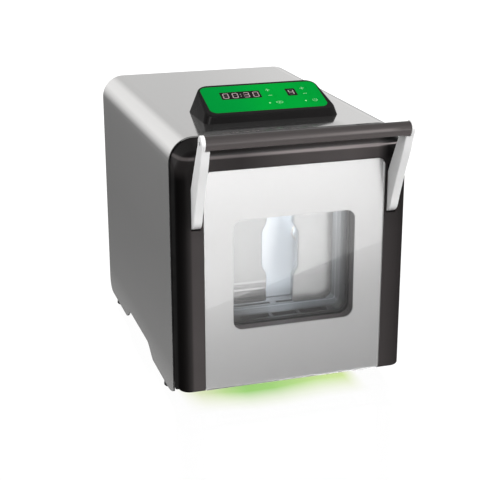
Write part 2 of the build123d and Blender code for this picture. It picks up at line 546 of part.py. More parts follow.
panel_sk = rrect(-PANEL_HX, PANEL_HX, PANEL_Z0, PANEL_Z1, PANEL_R, 1.5)
win_sk = rrect(-WIN_HX, WIN_HX, WIN_Z0, WIN_Z1, WIN_R)
pane = along_y(panel_sk, DOOR_YF, DOOR_YF + PANE_T)
pane = chamfer([e for e in pane.edges() if abs(e.center().Y - DOOR_YF) < 1e-4], 0.35)
node("door_pane", pane)
node("door_plate", along_y(panel_sk, DOOR_YF + PANE_T, DOOR_YF + PANE_T + PLATE_T)
     - along_y(win_sk, -40, 5))
dw = along_y(rrect(-84, 84, 76.4, 230, 4), -10.3, -2.3)
for x, z in WSCREW:
    dw -= cyly(-11, 0, x, z, 1.5)
node("door_window", dw)
ds = along_y(rrect(-84, 84, 76.4, 230, 4), -2.3, -0.8) - along_y(rrect(-70.4, 70.4, 88.8, 215.7, 12), -3, 0)
for x, z in WSCREW:
    ds -= cyly(-3, 0, x, z, 3.2)
node("door_seal", ds)
node("door_screws", *[cyly(-2.3, -1.0, x, z, 2.9) + cyly(-15.5, -2.2, x, z, 1.5)
                      - box(x - 2, x + 2, -1.7, 0, z - 0.35, z + 0.35) for x, z in WSCREW])
node("catch_plates", *[cyly(DOOR_YR - 2.0, DOOR_YR, s * MAG_X, MAG_Z, 9.5) for s in (-1, 1)])
node("handle_pivot_pins", *[cylx(s * 102.0, s * 121.0, PIVOT_Y, PIVOT_Z, PIVOT_PIN_R) for s in (-1, 1)])

# ============================================================== handle body
yd = DOOR_YF
a_bot = (yd - 5.0, PIVOT_Z - math.sqrt(15.0 ** 2 - 11.0 ** 2))
arm_sk = make_face(Wire([
    Spline((yd - 44.0, 309.5), (yd - 41.6, 303.0), (yd - 36.2, 288), (yd - 28.9, 271), (yd - 21.2, 253),
           (yd - 14.0, 235), (yd - 10.2, 224.5), a_bot, tangents=[(0.12, -1), (1.08, -1)]),
    ThreePointArc(a_bot, (PIVOT_Y, PIVOT_Z - 15.0), (PIVOT_Y + 15.0, PIVOT_Z)),
    Line((PIVOT_Y + 15.0, PIVOT_Z), (PIVOT_Y + 14.0, 232.0)),
    Line((PIVOT_Y + 14.0, 232.0), (yd + 0.0, 256.0)),
    Line((yd + 0.0, 256.0), (yd - 7.5, 270.5)),
    Line((yd - 7.5, 270.5), (yd - 24.3, 300.6)),
    Spline((yd - 24.3, 300.6), (yd - 27.6, 306.0), (yd - 28.8, 309.8), tangents=[(-0.49, 0.87), (-0.05, 1)]),
    ThreePointArc((yd - 28.8, 309.8), (yd - 36.3, 317.2), (yd - 44.0, 309.5)),
]))
for (ay, az), ar in (((PIVOT_Y + 15.0, PIVOT_Z), 3.0), ((PIVOT_Y + 14.0, 232.0), 8.0), ((yd, 256.0), 20.0),
                     ((yd - 7.5, 270.5), 40.0), ((yd - 24.3, 300.6), 6.0), ((yd - 28.8, 309.8), 3.0),
                     (a_bot, 4.0), ((yd - 44.0, 309.5), 3.0)):
    corner = min(arm_sk.vertices(), key=lambda v: math.hypot(v.X - ay, v.Y - az))
    arm_sk = fillet([corner], ar)
arm = along_x(arm_sk, ARM_X0, ARM_X1)
arm = fillet([e for e in arm.edges() if abs(e.center().X - ARM_X1) < 1e-4], 1.2)
arm = fillet([e for e in arm.edges() if abs(e.center().X - ARM_X0) < 1e-4], 0.8)
# seat of the bar: the inner part of the arm ends just below it
arm -= box(ARM_X0 - 1, CHEEK_X, yd - 60, yd - 10, BAR_Z - BAR_R - 0.05, 330)
arm -= cylx(ARM_X0 - 1, ARM_X1 + 1, PIVOT_Y, PIVOT_Z, PIVOT_PIN_R + RUN_FIT)
arm -= cylx(CHEEK_X - 1, ARM_X1 + 1, BAR_Y, BAR_Z, 2.5)
node("handle_arm_right", arm)
node("handle_arm_left", mirror_x(arm))
bar = cylx(-CHEEK_X, CHEEK_X, BAR_Y, BAR_Z, BAR_R)
for s in (-1, 1):
    bar -= cylx(s * CHEEK_X, s * (CHEEK_X - 16), BAR_Y, BAR_Z, 2.0)
node("handle_bar", bar)
hs = []
for s in (-1, 1):
    h = cylx(s * (CHEEK_X - 15), s * CHEEK_X, BAR_Y, BAR_Z, 2.0)
    h += cylx(s * CHEEK_X, s * (ARM_X1 - 0.4), BAR_Y, BAR_Z, 2.5)
    h -= Pos(s * (ARM_X1 - 0.4), BAR_Y, BAR_Z) * Rot(0, -90 * s, 0) * extrude(RegularPolygon(1.4, 6), 1.6)
    hs.append(h)
node("handle_screws", *hs)

# ============================================================= paddle bodies
PZ0, PZ1 = 97.6, 238.0


def paddle_shape():
    """Right-hand paddle face as (x, z): a waisted inner edge, round lower corners."""
    return make_face(Wire([
        Line((16.5, PZ0), (48.0, PZ0)),
        ThreePointArc((48.0, PZ0), (56.49, PZ0 + 3.51), (60.0, PZ0 + 12.0)),
        Line((60.0, PZ0 + 12.0), (60.0, PZ1 - 8)),
        ThreePointArc((60.0, PZ1 - 8), (57.66, PZ1 - 2.34), (52.0, PZ1)),
        Line((52.0, PZ1), (16.5, PZ1)),
        ThreePointArc((16.5, PZ1), (14.38, PZ1 - 0.88), (13.5, PZ1 - 3)),
        Line((13.5, PZ1 - 3), (13.5, 190.5)),
        Line((13.5, 190.5), (19.0, 180.5)),
        Line((19.0, 180.5), (19.0, 139.0)),
        Line((19.0, 139.0), (13.5, 130.0)),
        Line((13.5, 130.0), (13.5, PZ0 + 3)),
        ThreePointArc((13.5, PZ0 + 3), (14.38, PZ0 + 0.88), (16.5, PZ0)),
    ]))


for side_name, s, dy, cy in (("right", 1, 0.0, CRANK_Y - ECC), ("left", -1, STROKE, CRANK_Y + ECC)):
    yp = PADDLE_Y + dy
    p = along_y(paddle_shape(), yp, yp + PADDLE_T)
    p = fillet([e for e in p.edges() if abs(e.center().Y - yp) < 1e-4], 1.2)
    p += cyly(yp + PADDLE_T - 0.1, yp + PADDLE_T + 6, ROD_X, ROD_Z, 12.0)
    p -= cyly(yp + 3.0, yp + PADDLE_T + 7, ROD_X, ROD_Z, ROD_R)
    if s < 0:
        for z in (106.2, 113.4):   # two shallow grooves across the foot of the left paddle
            p -= along_x(Polygon((yp - 1, z - 3.2), (yp, z - 2.4), (yp + 1.4, z - 1.6), (yp + 1.4, z + 1.6),
                                 (yp, z + 2.4), (yp - 1, z + 3.2), align=None), 0, 80)
        p = mirror_x(p)
    node("paddle_" + side_name, p)
    hy = ROLLER_R + STROKE + 0.6
    hz = ROLLER_R + ECC + 0.6
    y_yoke = cy - hy - 6.0
    rod = cyly(yp + 3.0, y_yoke, s * ROD_X, ROD_Z, ROD_R)
    rod = chamfer(rod.edges().filter_by(GeomType.CIRCLE).group_by(Axis.Y)[0], 0.8)
    node("paddle_rod_" + side_name, rod)
    yk = along_x(Pos(cy, CRANK_Z) * RectangleRounded(2 * hy + 12, 2 * hz + 12, 10), s * ROD_X - 6, s * ROD_X + 6)
    yk -= along_x(Pos(cy, CRANK_Z) * RectangleRounded(2 * hy, 2 * hz, 5), s * ROD_X - 7, s * ROD_X + 7)
    node("yoke_" + side_name, yk)

# ------------------------------------------------------------------- export
for name, sols in NODES.items():
    moved = [s.moved(Location((0, -Y_MID, 0))) for s in sols]
    shape = moved[0] if len(moved) == 1 else Compound(children=moved)
    export_step(shape, f"parts/{name}.step")
print(len(NODES), "nodes; y shift", -Y_MID)
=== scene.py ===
import math

import bmesh
import bpy
from mathutils import Matrix, Vector


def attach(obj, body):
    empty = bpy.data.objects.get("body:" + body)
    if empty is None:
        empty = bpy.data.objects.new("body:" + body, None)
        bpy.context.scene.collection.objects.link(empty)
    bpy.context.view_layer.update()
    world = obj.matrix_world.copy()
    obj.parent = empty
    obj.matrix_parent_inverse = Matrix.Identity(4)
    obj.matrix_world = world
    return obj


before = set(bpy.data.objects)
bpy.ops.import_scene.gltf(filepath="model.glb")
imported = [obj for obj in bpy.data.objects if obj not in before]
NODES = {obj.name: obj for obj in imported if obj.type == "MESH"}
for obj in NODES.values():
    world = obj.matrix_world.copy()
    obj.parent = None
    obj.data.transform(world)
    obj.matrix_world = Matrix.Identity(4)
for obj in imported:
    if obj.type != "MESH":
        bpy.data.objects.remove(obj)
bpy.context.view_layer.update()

MM = 0.001

# ------------------------------------------------------------------ materials


def material(name):
    m = bpy.data.materials.new(name)
    m.use_nodes = True
    nt = m.node_tree
    nt.nodes.clear()
    out = nt.nodes.new("ShaderNodeOutputMaterial")
    out.location = (600, 0)
    b = nt.nodes.new("ShaderNodeBsdfPrincipled")
    b.location = (300, 0)
    nt.links.new(b.outputs["BSDF"], out.inputs["Surface"])
    return m, nt, b


def coords(nt, scale=(1.0, 1.0, 1.0), rot=(0.0, 0.0, 0.0)):
    """Object coordinates in metres, times scale."""
    tc = nt.nodes.new("ShaderNodeTexCoord")
    mp = nt.nodes.new("ShaderNodeMapping")
    mp.inputs["Scale"].default_value = scale
    mp.inputs["Rotation"].default_value = rot
    nt.links.new(tc.outputs["Object"], mp.inputs["Vector"])
    return mp.outputs["Vector"]


def noise_tex(nt, vec, scale, detail=3.0, rough=0.5):
    n = nt.nodes.new("ShaderNodeTexNoise")
    n.inputs["Scale"].default_value = scale
    n.inputs["Detail"].default_value = detail
    n.inputs["Roughness"].default_value = rough
    nt.links.new(vec, n.inputs["Vector"])
    return n.outputs["Fac"]


def ramp(nt, fac, stops):
    r = nt.nodes.new("ShaderNodeValToRGB")
    e = r.color_ramp.elements
    while len(e) < len(stops):
        e.new(0.5)
    for el, (p, c) in zip(e, stops):
        el.position = p
        el.color = (*c, 1.0) if len(c) == 3 else c
    nt.links.new(fac, r.inputs["Fac"])
    return r.outputs["Color"]


def map_range(nt, fac, a, b, c, d):
    m = nt.nodes.new("ShaderNodeMapRange")
    m.inputs["From Min"].default_value = a
    m.inputs["From Max"].default_value = b
    m.inputs["To Min"].default_value = c
    m.inputs["To Max"].default_value = d
    nt.links.new(fac, m.inputs["Value"])
    return m.outputs["Result"]


def bump(nt, height, strength, dist, normal=None):
    n = nt.nodes.new("ShaderNodeBump")
    n.inputs["Strength"].default_value = strength
    n.inputs["Distance"].default_value = dist
    nt.links.new(height, n.inputs["Height"])
    if normal is not None:
        nt.links.new(normal, n.inputs["Normal"])
    return n.outputs["Normal"]


def shade(c, k):
    return tuple(max(0.0, min(1.0, x * k)) for x in c)


def plastic(name, color, rough=0.42, spec=0.5, grain=2600.0, grain_h=0.000006, vary=0.12, coat=0.0):
    """Moulded plastic: fine spark-eroded grain, slight tone and gloss variation."""
    m, nt, b = material(name)
    v = coords(nt)
    big = noise_tex(nt, v, 14.0, 3.0)
    c = ramp(nt, big, [(0.3, shade(color, 1 - vary)), (0.7, shade(color, 1 + vary))])
    nt.links.new(c, b.inputs["Base Color"])
    fine = noise_tex(nt, v, grain, 2.0)
    mid = noise_tex(nt, v, 60.0, 4.0)
    nt.links.new(map_range(nt, mid, 0.3, 0.7, rough - 0.04, rough + 0.05), b.inputs["Roughness"])
    nt.links.new(bump(nt, fine, 0.25, grain_h), b.inputs["Normal"])
    b.inputs["Specular IOR Level"].default_value = spec
    if coat:
        b.inputs["Coat Weight"].default_value = coat
        b.inputs["Coat Roughness"].default_value = 0.08
    return m


def metal(name, color, rough=0.3, metallic=1.0, brush=None, brush_amt=0.05, bump_h=0.00001, vary=0.04,
          blotch=8.0):
    """Metal with a brushed or ground grain along the axis whose brush scale is low."""
    m, nt, b = material(name)
    v = coords(nt)
    big = noise_tex(nt, v, blotch, 3.0)
    c = ramp(nt, big, [(0.3, shade(color, 1 - vary)), (0.7, shade(color, 1 + vary))])
    nt.links.new(c, b.inputs["Base Color"])
    b.inputs["Metallic"].default_value = metallic
    g = noise_tex(nt, coords(nt, brush or (1, 1, 1)), 1.0 if brush else 900.0, 3.0)
    nt.links.new(map_range(nt, g, 0.25, 0.75, rough - brush_amt, rough + brush_amt), b.inputs["Roughness"])
    nt.links.new(bump(nt, g, 0.3, bump_h), b.inputs["Normal"])
    return m


def glow(name, color, strength, base=(0.02, 0.02, 0.02)):
    m, nt, b = material(name)
    v = coords(nt)
    n = noise_tex(nt, v, 500.0, 1.0)
    c = ramp(nt, n, [(0.3, shade(base, 0.9)), (0.7, shade(base, 1.1))])
    nt.links.new(c, b.inputs["Base Color"])
    b.inputs["Emission Color"].default_value = (*color, 1.0)
    b.inputs["Emission Strength"].default_value = strength
    b.inputs["Roughness"].default_value = 0.3
    return m


def axis_ramp(nt, axis, lo, hi, stops):
    """Colour ramp over one object axis; stops are (position in metres, colour)."""
    sep = nt.nodes.new("ShaderNodeSeparateXYZ")
    nt.links.new(coords(nt), sep.inputs["Vector"])
    t = map_range(nt, sep.outputs[axis], lo, hi, 0.0, 1.0)
    return ramp(nt, t, [((p - lo) / (hi - lo), c) for p, c in stops])


def mix_color(nt, fac, a, b, mode="MIX"):
    m = nt.nodes.new("ShaderNodeMix")
    m.data_type = "RGBA"
    m.blend_type = mode
    if isinstance(fac, (int, float)):
        m.inputs[0].default_value = fac
    else:
        nt.links.new(fac, m.inputs[0])
    for i, v in ((6, a), (7, b)):
        if isinstance(v, tuple):
            m.inputs[i].default_value = (*v, 1.0)
        else:
            nt.links.new(v, m.inputs[i])
    return m.outputs[2]


def times(m, maker):
    """Multiply a material's base colour by what maker(node_tree) gives."""
    nt = m.node_tree
    b = [x for x in nt.nodes if x.type == "BSDF_PRINCIPLED"][0]
    link = b.inputs["Base Color"].links[0]
    src = link.from_socket
    nt.links.remove(link)
    nt.links.new(mix_color(nt, 1.0, src, maker(nt), "MULTIPLY"), b.inputs["Base Color"])
    return m


def clear(name, rough=0.012, tint=(0.992, 0.992, 0.992), ior=1.49):
    """Clear pane: refracts for sight, lets lamps through, with faint wipe marks in its gloss."""
    m, nt, b = material(name)
    v = coords(nt)
    n = noise_tex(nt, v, 22.0, 4.0)
    nt.links.new(map_range(nt, n, 0.35, 0.75, rough * 0.4, rough * 1.5), b.inputs["Roughness"])
    b.inputs["Base Color"].default_value = (*tint, 1.0)
    b.inputs["Transmission Weight"].default_value = 1.0
    b.inputs["IOR"].default_value = ior
    lp = nt.nodes.new("ShaderNodeLightPath")
    tr = nt.nodes.new("ShaderNodeBsdfTransparent")
    tr.inputs["Color"].default_value = (0.935, 0.935, 0.935, 1.0)
    mx = nt.nodes.new("ShaderNodeMixShader")
    nt.links.new(lp.outputs["Is Shadow Ray"], mx.inputs[0])
    nt.links.new(b.outputs["BSDF"], mx.inputs[1])
    nt.links.new(tr.outputs["BSDF"], mx.inputs[2])
    out = [x for x in nt.nodes if x.type == "OUTPUT_MATERIAL"][0]
    nt.links.new(mx.outputs["Shader"], out.inputs["Surface"])
    return m


M = {}
M["hood"] = metal("hood_sheet", (0.60, 0.597, 0.593), rough=0.085, metallic=0.97, brush=(1500, 9, 1500),
                  brush_amt=0.01, bump_h=0.0000004, vary=0.008, blotch=5.0)
# painted light and shade: the hood is drawn much lighter near the bottom and a little darker high on its sides
times(M["hood"], lambda nt: axis_ramp(nt, 2, 0.0, 0.32, [
    (0.015, (1.57,) * 3), (0.045, (1.16,) * 3), (0.065, (1.11,) * 3), (0.10, (1.02,) * 3), (0.16, (0.92,) * 3),
    (0.25, (0.88,) * 3), (0.27, (0.9,) * 3), (0.285, (1.0,) * 3)]))
# the hood is drawn dark on a thin band at its front edge
times(M["hood"], lambda nt: axis_ramp(nt, 1, -0.15, -0.13, [(-0.1404, (0.12,) * 3), (-0.1396, (1.0,) * 3)]))


def hood_strip(nt):
    """The strip of hood between the console and the grip lies in the grip's shade."""
    x = axis_ramp(nt, 0, -0.13, 0.13, [(-0.10, (0, 0, 0)), (-0.085, (1.0,) * 3), (0.052, (1.0,) * 3), (0.07, (0, 0, 0))])
    y = axis_ramp(nt, 1, -0.15, -0.09, [(-0.125, (1.0,) * 3), (-0.115, (0, 0, 0))])
    return mix_color(nt, mix_color(nt, 1.0, x, y, "MULTIPLY"), (1.0, 1.0, 1.0), (0.6, 0.6, 0.6))


times(M["hood"], hood_strip)
M["chassis"] = metal("zinc_sheet", (0.42, 0.43, 0.44), rough=0.42, metallic=0.85, blotch=60.0, vary=0.12,
                     brush_amt=0.08)
M["frame"] = plastic("frame_plastic", (0.0100, 0.0089, 0.0089), rough=0.32, spec=0.05, vary=0.05)


def frame_painted_light_and_shade(nt):
    """Painted light and shade on the moulding: darker on its outer rounding and lighter on its flats."""
    side = axis_ramp(nt, 0, -0.13, 0.13, [(-0.1285, (0.035,) * 3), (-0.124, (0.06,) * 3), (-0.121, (0.10,) * 3),
                                          (-0.1175, (0.19,) * 3), (-0.1155, (0.29,) * 3), (-0.1135, (0.60,) * 3), (0.0, (0.60,) * 3),
                                          (0.105, (0.38,) * 3), (0.118, (0.28,) * 3), (0.127, (0.2,) * 3)])
    # painted light on the upper part: lighter towards the right, with painted shade at the left corner and beside the
    # right arm
    top = axis_ramp(nt, 0, -0.13, 0.13, [(-0.1285, (0.2,) * 3), (-0.108, (0.22,) * 3), (-0.098, (0.40,) * 3),
                                         (-0.06, (0.36,) * 3), (0.0, (0.78,) * 3), (0.06, (0.95,) * 3),
                                         (0.092, (0.95,) * 3), (0.099, (0.30,) * 3), (0.104, (0.05,) * 3),
                                         (0.116, (0.05,) * 3), (0.122, (0.3,) * 3)])
    # painted highlight along its upper edge: a light line, stronger to the right, with a painted shadow of the grip
    # in the hollow above it
    line = axis_ramp(nt, 0, -0.13, 0.13, [(-0.122, (0.02,) * 3), (-0.112, (0.04,) * 3), (-0.05, (0.04,) * 3), (0.0, (0.28,) * 3),
                                          (0.06, (0.85,) * 3), (0.09, (1.0,) * 3)])
    edge = axis_ramp(nt, 2, 0.27, 0.3, [(0.2818, (0.25,) * 3), (0.2830, (1.0,) * 3), (0.2846, (1.0,) * 3),
                                        (0.2862, (0.12,) * 3), (0.2885, (0.08,) * 3)])
    lit = mix_color(nt, 1.0, mix_color(nt, 1.0, edge, (4.0, 4.0, 4.0), "MULTIPLY"), top, "MULTIPLY")
    on = axis_ramp(nt, 2, 0.27, 0.3, [(0.2833, (0.0,) * 3), (0.2838, (1.0,) * 3), (0.2846, (1.0,) * 3),
                                      (0.2852, (0.0,) * 3)])
    top = mix_color(nt, mix_color(nt, 1.0, on, line, "MULTIPLY"), lit, (3.0, 3.0, 3.0))
    where = axis_ramp(nt, 2, 0.0, 0.3, [(0.262, (0.0,) * 3), (0.272, (1.0,) * 3)])
    # painted light and shade: lighter low down, darker towards the top
    low = axis_ramp(nt, 2, 0.0, 0.3, [(0.03, (1.25,) * 3), (0.19, (1.0,) * 3), (0.23, (0.7,) * 3)])
    side = mix_color(nt, 1.0, side, low, "MULTIPLY")
    return mix_color(nt, 1.0, mix_color(nt, where, side, top), (10.0, 10.0, 10.0), "MULTIPLY")


times(M["frame"], frame_painted_light_and_shade)
M["bezel"] = plastic("bezel_plastic", (0.006, 0.0058, 0.0058), rough=0.5, spec=0.25)
M["console"] = plastic("console_plastic", (0.013, 0.0125, 0.0125), rough=0.3, spec=0.015)
M["grip"] = plastic("grip_plastic", (0.050, 0.0445, 0.044), rough=0.33, spec=0.12, vary=0.03, grain_h=0.0000005)
M["inlet"] = plastic("inlet_black", (0.012, 0.012, 0.013), rough=0.25, spec=0.5)
M["pale_rubber"] = plastic("silicone_pale", (0.5, 0.5, 0.49), rough=0.55, spec=0.3, grain=1200.0, vary=0.05)
M["rubber"] = plastic("rubber_black", (0.012, 0.012, 0.012), rough=0.72, spec=0.25, grain=900.0, grain_h=0.00008)
M["belt"] = plastic("belt_black", (0.014, 0.014, 0.014), rough=0.6, spec=0.3, grain=700.0, grain_h=0.0001)
M["chamber"] = metal("chamber_satin", (0.60, 0.61, 0.62), rough=0.3, metallic=0.55, brush=(8, 900, 900),
                     brush_amt=0.03, bump_h=0.0000008, vary=0.03, blotch=20.0)
# painted shade: the collar is a darker copy of the chamber's satin steel, for the shaded window reveal
M["collar"] = metal("collar_satin_painted_shade", (0.11, 0.108, 0.105), rough=0.3, metallic=0.8, brush=(900, 8, 900),
                    brush_amt=0.03, bump_h=0.0000008, vary=0.03, blotch=20.0)
# painted shade: the side walls are darker towards the bottom
times(M["chamber"], lambda nt: mix_color(
    nt, axis_ramp(nt, 0, -0.09, 0.09, [(-0.0722, (1.0,) * 3), (-0.0716, (0, 0, 0)), (0.0716, (0, 0, 0)), (0.0722, (1.0,) * 3)]),
    (1.0, 1.0, 1.0), axis_ramp(nt, 2, 0.08, 0.26, [(0.15, (0.45, 0.43, 0.41)), (0.185, (0.75, 0.72, 0.69)), (0.24, (0.85, 0.82, 0.79))])))
# painted highlights: two thin bright lines across the tub at fixed depths, with the walls between a little darker
times(M["chamber"], lambda nt: axis_ramp(nt, 1, -0.13, -0.07, [
    (-0.1205, (1.0,) * 3), (-0.1200, (2.4,) * 3), (-0.1192, (2.4,) * 3), (-0.1187, (1.0,) * 3), (-0.1030, (0.9,) * 3),
    (-0.1025, (2.4,) * 3), (-0.1017, (2.4,) * 3), (-0.1012, (0.85,) * 3), (-0.0790, (0.85,) * 3), (-0.0782, (1.0,) * 3)]))
# painted shade: the side walls are drawn darker
times(M["chamber"], lambda nt: axis_ramp(nt, 0, -0.08, 0.08, [
    (-0.0716, (0.38, 0.37, 0.36)), (-0.0700, (1.0,) * 3), (0.0700, (1.0,) * 3), (0.0716, (0.38, 0.37, 0.36))]))
# painted shade: the tub's floor is drawn darker
times(M["chamber"], lambda nt: axis_ramp(nt, 2, 0.08, 0.1, [(0.0887, (0.22, 0.22, 0.22)), (0.0905, (1.0,) * 3)]))
M["paddle"] = metal("paddle_ground", (0.37, 0.374, 0.378), rough=0.2, metallic=0.85, brush=(1100, 900, 7),
                    brush_amt=0.03, bump_h=0.0000008, vary=0.02, blotch=15.0)
# painted light and shade: the left paddle is a darker copy of the ground steel, with painted highlight lines, painted
# shade bands and a darker lower part
M["paddle_l"] = metal("paddle_ground_painted_lines", (0.31, 0.313, 0.316), rough=0.2, metallic=0.85, brush=(1100, 900, 7),
                      brush_amt=0.03, bump_h=0.0000008, vary=0.02, blotch=15.0)
times(M["paddle_l"], lambda nt: axis_ramp(nt, 2, 0.09, 0.13, [
    (0.0975, (0.30,) * 3), (0.1046, (0.32,) * 3), (0.1052, (1.0,) * 3), (0.1122, (0.9,) * 3), (0.1128, (1.5,) * 3),
    (0.1142, (1.5,) * 3), (0.1148, (0.60,) * 3), (0.1205, (0.66,) * 3), (0.1212, (1.5,) * 3), (0.1226, (1.5,) * 3),
    (0.1233, (1.0,) * 3)]))
M["shaft"] = metal("shaft_ground", (0.62, 0.62, 0.62), rough=0.16, brush=(1600, 60, 60), brush_amt=0.05)
M["screw"] = metal("plated_screw", (0.55, 0.55, 0.56), rough=0.32, blotch=400.0, vary=0.1)
M["magnet"] = metal("nickel", (0.58, 0.57, 0.54), rough=0.14, blotch=300.0, vary=0.06)
M["alu"] = metal("milled_aluminium", (0.66, 0.67, 0.68), rough=0.34, brush=(90, 90, 1500), brush_amt=0.08,
                 bump_h=0.00002)
M["bearing"] = metal("bearing_steel", (0.55, 0.55, 0.56), rough=0.12, brush=(1800, 90, 90), brush_amt=0.04)
M["bronze"] = metal("sintered_bronze", (0.52, 0.33, 0.15), rough=0.42, blotch=900.0, vary=0.16)
M["motor"] = plastic("motor_enamel", (0.035, 0.04, 0.046), rough=0.5, spec=0.5, grain=500.0, grain_h=0.0002)
M["pcb"] = plastic("solder_mask", (0.008, 0.085, 0.028), rough=0.3, spec=0.5, grain=300.0, vary=0.25)
M["green"] = plastic("key_film_green", (0.0012, 0.325, 0.037), rough=0.4, spec=0.0, grain=3500.0,
                     grain_h=0.00002, vary=0.05)
times(M["green"], lambda nt: axis_ramp(nt, 0, -0.08, 0.08, [
    (-0.075, (1.0, 0.80, 1.05)), (-0.03, (1.0, 0.86, 1.05)), (-0.005, (1.0, 1.0, 1.0)), (0.035, (1.0, 1.02, 1.0)),
    (0.07, (1.0, 0.9, 1.0))]))
M["display"] = plastic("display_dark", (0.006, 0.005, 0.005), rough=0.15, spec=0.03, grain=4000.0, grain_h=0.00001)
M["led"] = glow("led_green", (0.55, 1.0, 0.45), 0.3, (0.2, 0.6, 0.25))
M["lightbar"] = glow("light_bar_green", (0.10, 1.0, 0.06), 4.0, (0.3, 0.8, 0.25))
M["plate"] = metal("silver_plate", (0.45, 0.45, 0.452), rough=0.3, metallic=0.94, brush=(1400, 1400, 1400),
                   brush_amt=0.015, bump_h=0.0000003, vary=0.008, blotch=4.0)
# painted light: the plate is a little lighter towards its top
times(M["plate"], lambda nt: axis_ramp(nt, 2, 0.0, 0.3, [(0.21, (1.0,) * 3), (0.26, (1.05,) * 3)]))
M["white"] = plastic("white_coat", (0.93, 0.93, 0.93), rough=0.38, spec=0.5, grain=1500.0, grain_h=0.00004,
                     vary=0.02)
M["pane"] = clear("front_pane")
M["window"] = clear("inner_window", tint=(0.985, 0.986, 0.986))
M["print"] = plastic("print_white", (0.36, 0.74, 0.42), rough=0.4, spec=0.0, grain=4000.0, grain_h=0.00001,
                     vary=0.03)
M["segment"] = glow("segment_lit", (1.0, 0.80, 0.80), 0.26, (0.16, 0.12, 0.12))
M["segment_off"] = plastic("segment_dim", (0.035, 0.022, 0.022), rough=0.3, spec=0.4, grain=4000.0)

ASSIGN = {
    "hood": "hood", "rear_panel": "hood", "base_plate": "chassis", "motor_bracket": "chassis",
    "hinge_blocks": "chassis", "front_bezel": "bezel", "door_frame": "frame", "console_housing": "console",
    "chamber_collar": "collar", "chamber_tub": "chamber", "drip_tray": "chamber", "paddle_left": "paddle_l",
    "paddle_right": "paddle", "paddle_rod_left": "shaft", "paddle_rod_right": "shaft", "crankshaft": "shaft",
    "motor_shaft": "shaft", "hinge_pins": "shaft", "handle_pivot_pins": "shaft", "chassis_screws": "screw",
    "door_screws": "screw", "handle_screws": "screw", "catch_plates": "screw", "catch_magnets": "magnet",
    "side_plates": "alu", "yoke_left": "alu", "yoke_right": "alu", "driven_pulley": "alu", "motor_pulley": "alu",
    "power_supply": "alu", "crank_bearings": "bearing", "crank_rollers": "bearing", "guide_bushings": "bronze",
    "rod_seals": "pale_rubber", "door_seal": "rubber", "feet": "rubber", "timing_belt": "belt", "motor": "motor",
    "control_board": "pcb", "keypad_pcb": "pcb", "power_inlet": "inlet", "fuse_drawer": "inlet",
    "power_rocker": "inlet", "keypad_overlay": "green", "key_time_plus": "green", "key_time_minus": "green",
    "key_speed_plus": "green", "key_speed_minus": "green", "key_start": "green", "key_stop": "green",
    "time_display": "display", "speed_display": "display", "indicator_leds": "led",
    "underlight_bar": "lightbar", "door_plate": "plate", "door_pane": "pane", "door_window": "window",
    "handle_bar": "grip", "handle_arm_left": "white", "handle_arm_right": "white",
}
for name, obj in NODES.items():
    mat = M[ASSIGN[name]]
    if not obj.material_slots:
        obj.data.materials.append(mat)
    for s in obj.material_slots:
        s.material = mat

# the sheet's mirror under the console shows the housing, not the key panel's colour
for n in NODES:
    if n == "keypad_overlay" or n.startswith("key_") or n in ("time_display", "speed_display", "indicator_leds"):
        NODES[n].visible_glossy = False

NODES["underlight_bar"].visible_glossy = False

bar_z = [v.co.z for v in NODES["handle_bar"].data.vertices]
bar_z0, bar_h = min(bar_z), max(bar_z) - min(bar_z)


def bar_painted_light(nt):
    """Painted light on the grip: lighter below, where it faces the bench, with a painted highlight line along its
    front.
    """
    def at(t):
        return bar_z0 + t * bar_h
    low = axis_ramp(nt, 2, at(0.0), at(1.0), [(at(0.0), (3.0,) * 3), (at(0.15), (2.3,) * 3), (at(0.25), (1.8,) * 3),
                                              (at(0.41), (1.3,) * 3), (at(0.52), (1.15,) * 3), (at(0.75), (1.0,) * 3), (at(1.0), (0.95,) * 3)])
    on = axis_ramp(nt, 2, at(0.0), at(1.0), [(at(0.46), (0, 0, 0)), (at(0.56), (1.0,) * 3), (at(0.64), (1.0,) * 3), (at(0.74), (0, 0, 0))])
    along = axis_ramp(nt, 0, -0.13, 0.13, [(-0.12, (0.08,) * 3), (-0.08, (0.12,) * 3), (0.0, (0.5,) * 3), (0.06, (1.0,) * 3), (0.085, (1.0,) * 3), (0.1, (0.1,) * 3)])
    return mix_color(nt, mix_color(nt, 1.0, on, along, "MULTIPLY"), low, (2.6, 2.6, 2.6))


times(M["grip"], bar_painted_light)

# the clear panes are drawn a hair thinner, so that light can pass between them and what they touch
for n in ("door_pane", "door_window"):
    dm = NODES[n].modifiers.new("hair_gap", "DISPLACE")
    dm.strength = -0.00004
    dm.mid_level = 0.0

# ---------------------------------------------------------- printed marks, digits
TILT = math.radians(18.35)
OV_O = Vector((0.0, (54.1 - 141.4) * MM, 311.0 * MM))
OV_U = Vector((1, 0, 0))
OV_V = Vector((0, math.cos(TILT), math.sin(TILT)))
OV_N = Vector((0, -math.sin(TILT), math.cos(TILT)))


def ov(u, v, h):
    """Point on the console's sloping face: u to the right, v up the slope, h above it, in mm."""
    return OV_O + (OV_U * u + OV_V * v + OV_N * h) * MM


